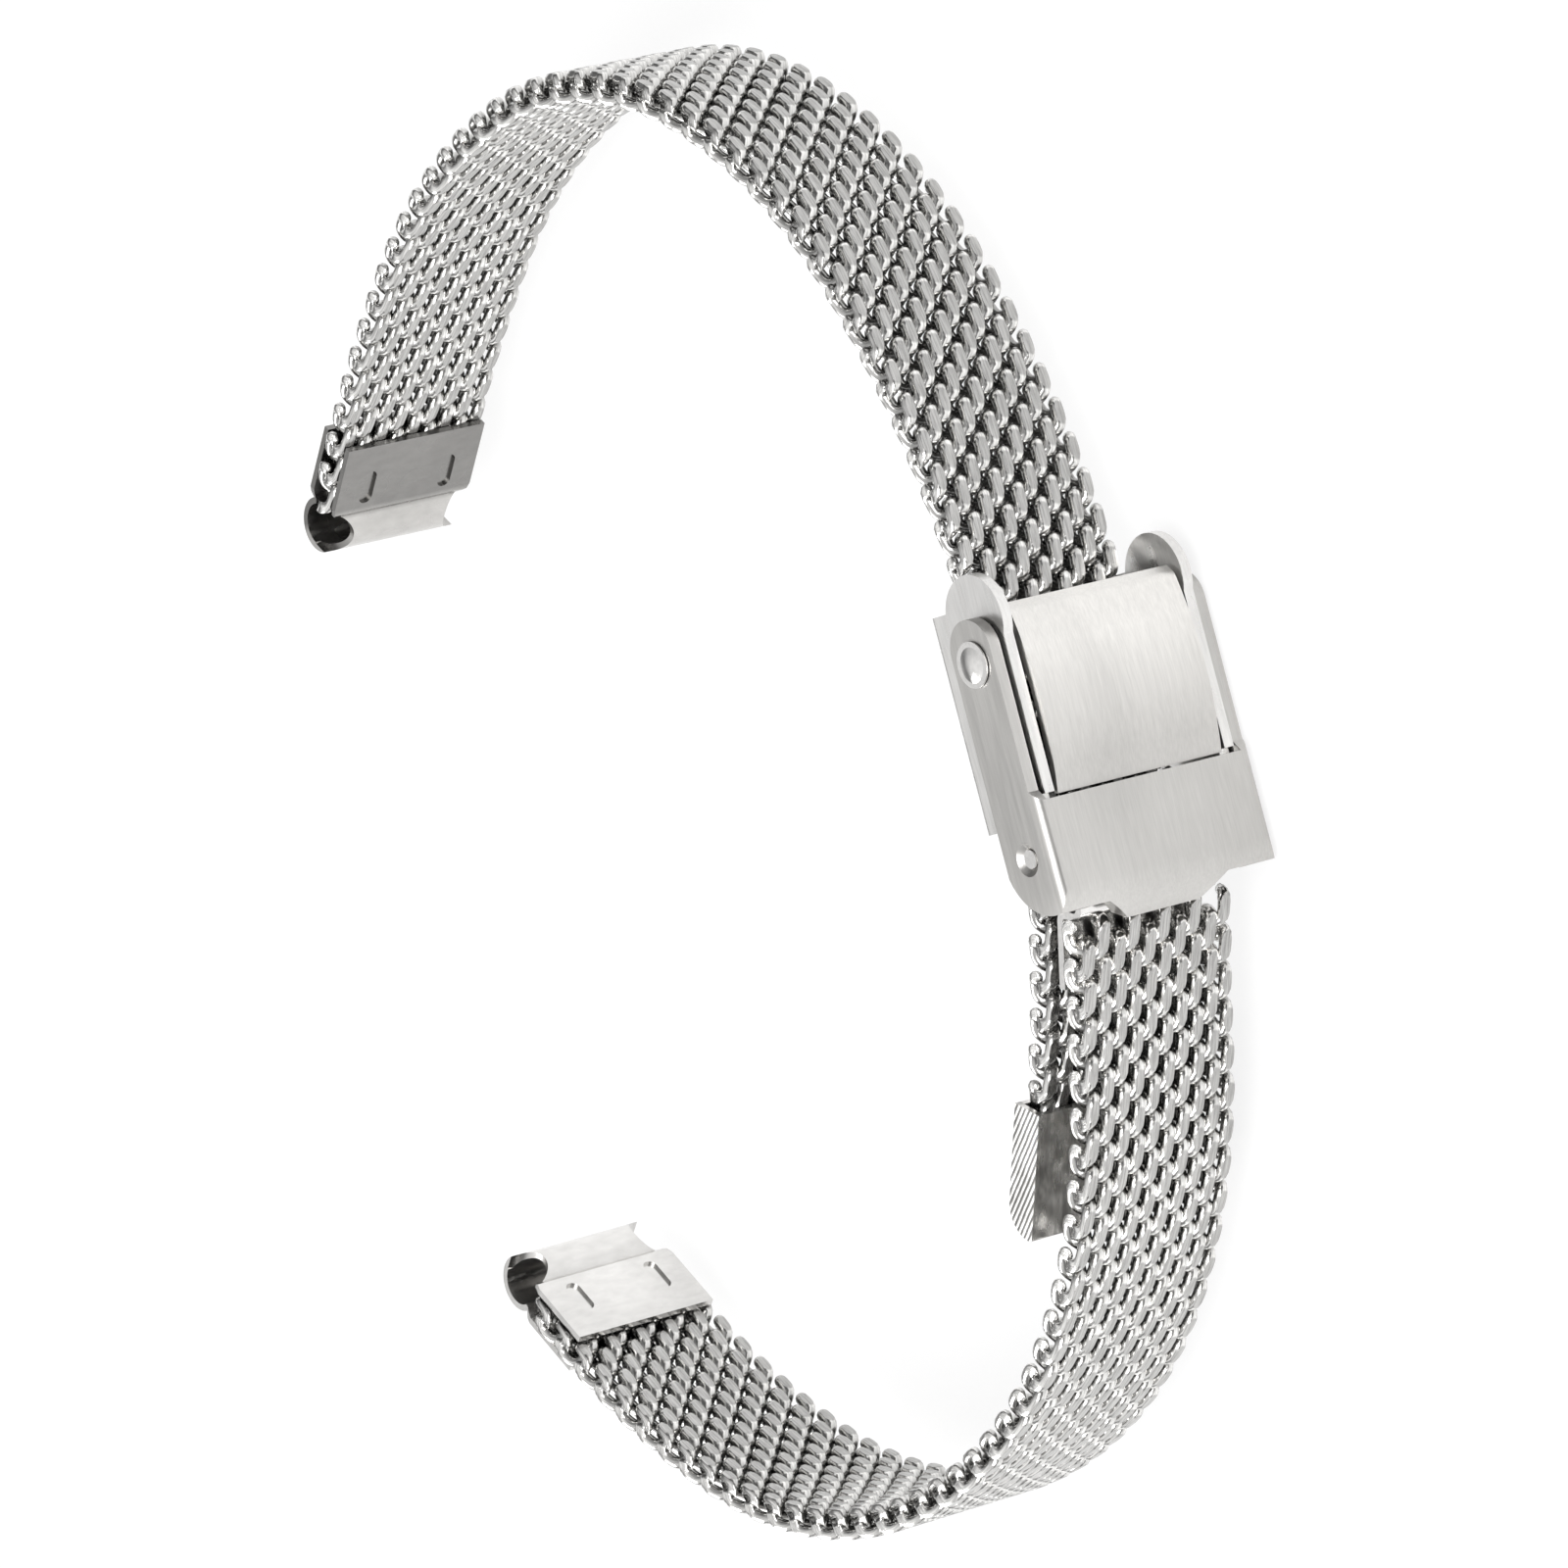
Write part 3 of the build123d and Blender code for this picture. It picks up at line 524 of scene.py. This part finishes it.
def spiral(odd, lean, turns, pitch, half, grind):
    """One spiral about its own middle, out to half the mesh's thickness.

    Returns its vertices as (along, out, across), their places on the wire for its drawn lines,
    which of them lie on a ground flat, and which of those lie on the flat's edges."""
    wire_half = half - WIRE_RADIUS + grind
    line, normal, side = spiral_line(odd, lean, turns, pitch, wire_half)
    out = line[:, 1]
    angles, flat = ring_angles(out, normal, side, half)
    ring = normal[:, None, :] * np.cos(angles)[..., None]
    ring = ring + side[:, None, :] * np.sin(angles)[..., None]
    # Pressed together, the wires are thickest where they pass through the middle of the mesh
    inward = (MESH_WIDTH / 2 - np.abs(line[:, 2])) / SELVEDGE
    swell = 1 + CORE_SWELL * (1 - (out / wire_half) ** 2) * np.clip(inward - 1, 0, 1)
    points = line[:, None, :] + WIRE_RADIUS * swell[:, None, None] * ring
    limit = np.full(WIRE_SIDES, half - FLAT_DOME)
    limit[1] = half
    points[..., 1] = np.clip(points[..., 1], -limit, limit)
    points[..., 2] = np.clip(points[..., 2], -MESH_WIDTH / 2, MESH_WIDTH / 2)
    run = np.concatenate([[0], np.cumsum(np.linalg.norm(np.diff(line, axis=0), axis=1))])
    lay = np.stack([np.repeat(run[:, None] / LINE_LENGTH, WIRE_SIDES, 1),
                    LINES_ROUND * np.cos(angles), LINES_ROUND * np.sin(angles)], 2)
    ground = np.zeros((len(line), WIRE_SIDES), bool)
    ground[:, :3] = (flat > LEAST_FLAT)[:, None]
    crest = ground.copy()
    crest[:, 1] = False
    return points.reshape(-1, 3), lay.reshape(-1, 3), ground.ravel(), crest.ravel()


def wire_faces(count):
    """Faces of a wire of so many rings, with its two ends."""
    faces = []
    for i in range(count - 1):
        for j in range(WIRE_SIDES):
            k = (j + 1) % WIRE_SIDES
            a = i * WIRE_SIDES
            b = a + WIRE_SIDES
            faces.append((a + j, a + k, b + k, b + j))
    faces.append(tuple(range(WIRE_SIDES - 1, -1, -1)))
    faces.append(tuple((count - 1) * WIRE_SIDES + j for j in range(WIRE_SIDES)))
    return faces


def store(mesh, name, values):
    """Put a number or a vector for each vertex on the mesh, from a list of arrays."""
    values = np.concatenate(values).astype(np.float32)
    kind, field = ("FLOAT", "value") if values.ndim == 1 else ("FLOAT_VECTOR", "vector")
    layer = mesh.attributes.new(name, kind, "POINT")
    layer.data.foreach_set(field, values.ravel())


def sharpen(mesh, crest):
    """Make the edges along the wires sharp where both their ends are on a flat's edge."""
    ends = np.empty(2 * len(mesh.edges), np.int32)
    mesh.edges.foreach_get("vertices", ends)
    ends = ends.reshape(-1, 2)
    sharp = crest[ends].all(1) & (ends[:, 0] % WIRE_SIDES == ends[:, 1] % WIRE_SIDES)
    mesh.edges.foreach_set("use_edge_sharp", sharp)


# What a strap's weave is like: the side that faces out, the spirals' lean, the first one's phase,
# their turns and pitch, and the function that gives each spiral's finish
Kind = namedtuple("Kind", "out_side lean phase turns pitch finish")


def weave(name, line, first, last, kind):
    """Mesh object of the spirals numbered first to last - 1 along a strap's middle line."""
    rings = wire_faces(round(kind.turns * TURN_STEPS) + 1)
    points, lays, grounds, crests, depths, faces = [], [], [], [], [], []
    for number in range(first, last):
        half, grind, light = kind.finish(number)
        odd = (number + kind.phase) % 2 == 1
        local, lay, ground, crest = spiral(odd, kind.lean, kind.turns, kind.pitch, half, grind)
        x, y, heading = along(line, (number + 0.5) * SPIRAL_STEP + local[:, 0])
        out_x = -np.sin(heading) * kind.out_side
        out_y = np.cos(heading) * kind.out_side
        base = len(points) * len(local)
        points.append(np.stack([x + out_x * local[:, 1], y + out_y * local[:, 1],
                                MID_Z + local[:, 2]], 1))
        # The depth that the painted shade follows: 0 in the middle of the thickness, 1 at the
        # faces and the two edges
        unshaded = (np.abs(local[:, 2]) / (MESH_WIDTH / 2)) ** UNSHADED_EDGE_POWER
        depths.append(light * np.maximum(np.abs(local[:, 1]) / half, unshaded))
        lays.append(lay + (number * LINES_SHIFT, 0, 0))
        grounds.append(ground)
        crests.append(crest)
        faces.extend(tuple(v + base for v in face) for face in rings)
    mesh = bpy.data.meshes.new(name)
    mesh.from_pydata(np.concatenate(points).tolist(), [], faces)
    store(mesh, "depth", depths)
    store(mesh, "ground", grounds)
    store(mesh, "lay", lays)
    mesh.shade_smooth()
    sharpen(mesh, np.concatenate(crests))
    mesh.validate()
    mesh.materials.append(wire_steel)
    piece = bpy.data.objects.new(name, mesh)
    bpy.context.scene.collection.objects.link(piece)
    return piece


def strap(label, line, bodies, kind):
    """The whole weave of a strap: one piece for each stiff stretch, one across each bend.

    bodies gives each stretch's body, the nodes it stands for and its count of spirals."""
    begin = 0
    for number, (body, nodes, count) in enumerate(bodies):
        end = begin + count
        first = begin + (BEND_ROWS if number else 0)
        last = end - (BEND_ROWS if number < len(bodies) - 1 else 0)
        if last > first:
            piece = weave(f"{label}_weave_{number}", line, first, last, kind)
            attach(piece, body)
            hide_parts(*nodes)
        if number < len(bodies) - 1:
            bend = weave(f"{label}_bend_{number}", line, end - BEND_ROWS, end + BEND_ROWS, kind)
            x, y, heading = along(line, np.array([end * SPIRAL_STEP]))
            reach = Vector((math.cos(heading[0]), math.sin(heading[0]), 0))
            reach *= BEND_ROWS * SPIRAL_STEP
            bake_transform(bend)
        begin = end


def stretches(label, counts):
    """Bodies and nodes of a strap's numbered stretches, with their counts of spirals."""
    return [(f"{label}_{number}", [f"{label}_mesh_{number}"], count)
            for number, count in enumerate(counts, 1)]


def long_finish(number):
    """Half thickness, grind and lightness of a spiral of the long strap, with painted shade in the
    clasp.
    """
    return MESH_THICKNESS / 2, FACE_GRIND, CLASP_PAINTED_SHADE if number < PAINTED_SHADE_SPIRALS else 1


def free_finish(number):
    """The same for the free end, with painted shade that fades out of the clasp, and thin in the
    cap.
    """
    capped = number >= FREE_SPIRALS - CAP_SPIRALS
    return ((CAP_THICKNESS if capped else MESH_THICKNESS) / 2, FACE_GRIND,
            min(1, CLASP_PAINTED_SHADE + CLASP_PAINTED_SHADE * number))


def short_finish(number):
    """The same for the short strap, ground deep beside the hook."""
    if number < PRESSED_SPIRALS:
        return MESH_THICKNESS / 2, PRESSED_GRIND, PRESSED_LIGHT
    return MESH_THICKNESS / 2, FACE_GRIND, 1


LONG_KIND = Kind(out_side=-1, lean=1, phase=0, turns=LONG_TURNS, pitch=LONG_TURN_PITCH,
                 finish=long_finish)
FREE_KIND = Kind(out_side=1, lean=-1, phase=1, turns=LONG_TURNS, pitch=LONG_TURN_PITCH,
                 finish=free_finish)
SHORT_KIND = Kind(out_side=1, lean=-1, phase=0, turns=SHORT_TURNS, pitch=SHORT_TURN_PITCH,
                  finish=short_finish)

strap("long", path(CLASP + Vector((LONG_START_X, 0, 0)), 0, LONG_RUNS),
      [("strap", ["long_mesh_clasp", "long_mesh_heel"], CLASP_SPIRALS),
       *stretches("long", LONG_SPIRALS)], LONG_KIND)
strap("free_end", path(CLASP + Vector((LONG_START_X, 0, 0)), 180, FREE_END_RUNS),
      [("strap", [], HELD_SPIRALS),
       ("free_end", ["long_mesh_free_end"], FREE_SPIRALS - HELD_SPIRALS)], FREE_KIND)
strap("short", path(CLASP + SHORT_START, SHORT_HEADING, SHORT_RUNS),
      stretches("short", SHORT_SPIRALS), SHORT_KIND)


# Finish of the rigid pieces

FINISH = {
    "cover": cover_steel,
    "lock_plate": lock_steel,
    "slider_channel": arm_steel,
    "pivot_pin": pin_steel,
    "hook_pin": pin_steel,
    "short_hook": pin_steel,
    "long_bar_fitting": painted_shade_fitting,
    "short_bar_fitting": bright_fitting,
    "free_end_cap": cap_steel,
}
for name, material in FINISH.items():
    node = frame["nodes"][name]
    node.data.materials.clear()
    node.data.materials.append(material)
    bevel = node.modifiers.new("edges", "BEVEL")
    bevel.width = BEVEL
    bevel.segments = BEVEL_SEGMENTS
    bevel.limit_method = "ANGLE"
    bevel.angle_limit = BEVEL_ANGLE
    bevel.harden_normals = False


# Floor, light and camera

def floor():
    """Plain pale floor that the camera and the steel see as white, with the band's soft shadow."""
    mesh = bpy.data.meshes.new("floor")
    mesh.from_pydata([(-FLOOR_REACH, -FLOOR_REACH, 0), (FLOOR_REACH, -FLOOR_REACH, 0),
                      (FLOOR_REACH, FLOOR_REACH, 0), (-FLOOR_REACH, FLOOR_REACH, 0)],
                     [], [(0, 1, 2, 3)])
    plane = bpy.data.objects.new("floor", mesh)
    bpy.context.scene.collection.objects.link(plane)
    plane.location.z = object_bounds()[0][2]
    material = bpy.data.materials.new("floor")
    material.use_nodes = True
    tree = material.node_tree
    tree.nodes.clear()
    out = tree.nodes.new("ShaderNodeOutputMaterial")
    ray = tree.nodes.new("ShaderNodeLightPath")
    mirrored = math_node(tree, "MAXIMUM", ray.outputs["Is Glossy Ray"],
                         ray.outputs["Is Transmission Ray"])
    shader = value_node(tree, "ShaderNodeBsdfDiffuse", Color=grey(FLOOR_GREY))
    for switch, (level, strength) in ((mirrored, FLOOR_IN_STEEL),
                                      (ray.outputs["Is Camera Ray"], FLOOR_IN_CAMERA)):
        shaded = value_node(tree, "ShaderNodeBsdfDiffuse", Color=grey(level))
        glow = value_node(tree, "ShaderNodeEmission", Color=grey(1), Strength=strength)
        white = tree.nodes.new("ShaderNodeAddShader")
        tree.links.new(shaded.outputs[0], white.inputs[0])
        tree.links.new(glow.outputs[0], white.inputs[1])
        shader = switched(tree, switch, shader, white)
    tree.links.new(shader.outputs[0], out.inputs["Surface"])
    mesh.materials.append(material)
    plane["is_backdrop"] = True


def studio():
    """Soft room, white at the horizon and above, with a darker band between, and the lamps."""
    world = bpy.data.worlds.new("studio")
    bpy.context.scene.world = world
    world.use_nodes = True
    tree = world.node_tree
    tree.nodes.clear()
    out = tree.nodes.new("ShaderNodeOutputWorld")
    place = parts(tree, tree.nodes.new("ShaderNodeTexCoord").outputs["Generated"])
    levels = grey_ramp(tree, place["Z"], ROOM_LEVELS)
    dimmed = tinted(tree, levels, map_range(tree, place["X"], *ROOM_SPAN, *ROOM_SHARES))
    room = value_node(tree, "ShaderNodeBackground", Strength=1.0)
    tree.links.new(dimmed, room.inputs["Color"])
    backdrop = value_node(tree, "ShaderNodeBackground", Color=grey(1), Strength=1.0)
    ray = tree.nodes.new("ShaderNodeLightPath")
    shader = switched(tree, ray.outputs["Is Camera Ray"], room, backdrop)
    tree.links.new(shader.outputs[0], out.inputs["Surface"])
    for name, (place, power) in LAMPS.items():
        lamp(name, Vector(place), power)


def lamp(name, place, power):
    """Square lamp that faces the band."""
    light = bpy.data.lights.new(name, "AREA")
    light.size = LAMP_SIDE
    light.energy = power
    piece = bpy.data.objects.new(name, light)
    piece.location = place
    piece.rotation_euler = (CLASP - place).to_track_quat("-Z", "Y").to_euler()
    bpy.context.scene.collection.objects.link(piece)


def camera():
    """The photograph's camera."""
    back = Vector((math.sin(CAMERA_AZIMUTH) * math.cos(CAMERA_ELEVATION),
                   -math.cos(CAMERA_AZIMUTH) * math.cos(CAMERA_ELEVATION),
                   math.sin(CAMERA_ELEVATION)))
    level = (-back).cross(Vector((0, 0, 1))).normalized()
    rise = level.cross(-back)
    right = math.cos(CAMERA_ROLL) * level + math.sin(CAMERA_ROLL) * rise
    up = -math.sin(CAMERA_ROLL) * level + math.cos(CAMERA_ROLL) * rise
    data = bpy.data.cameras.new("camera")
    data.sensor_width = SENSOR_MM
    data.lens = CAMERA_FOCAL_PX / PHOTO_PX * SENSOR_MM
    data.clip_start = CAMERA_NEAR
    data.clip_end = CAMERA_FAR
    piece = bpy.data.objects.new("camera", data)
    turn = Matrix((right, up, back)).transposed().to_4x4()
    place = (CAMERA_TARGET + CAMERA_DISTANCE * back + CAMERA_SIDE_STEP * right
             + CAMERA_UP_STEP * up)
    piece.matrix_world = Matrix.Translation(place) @ turn
    bpy.context.scene.collection.objects.link(piece)
    bpy.context.scene.camera = piece


floor()
studio()
camera()
bpy.context.scene.view_settings.view_transform = "Standard"
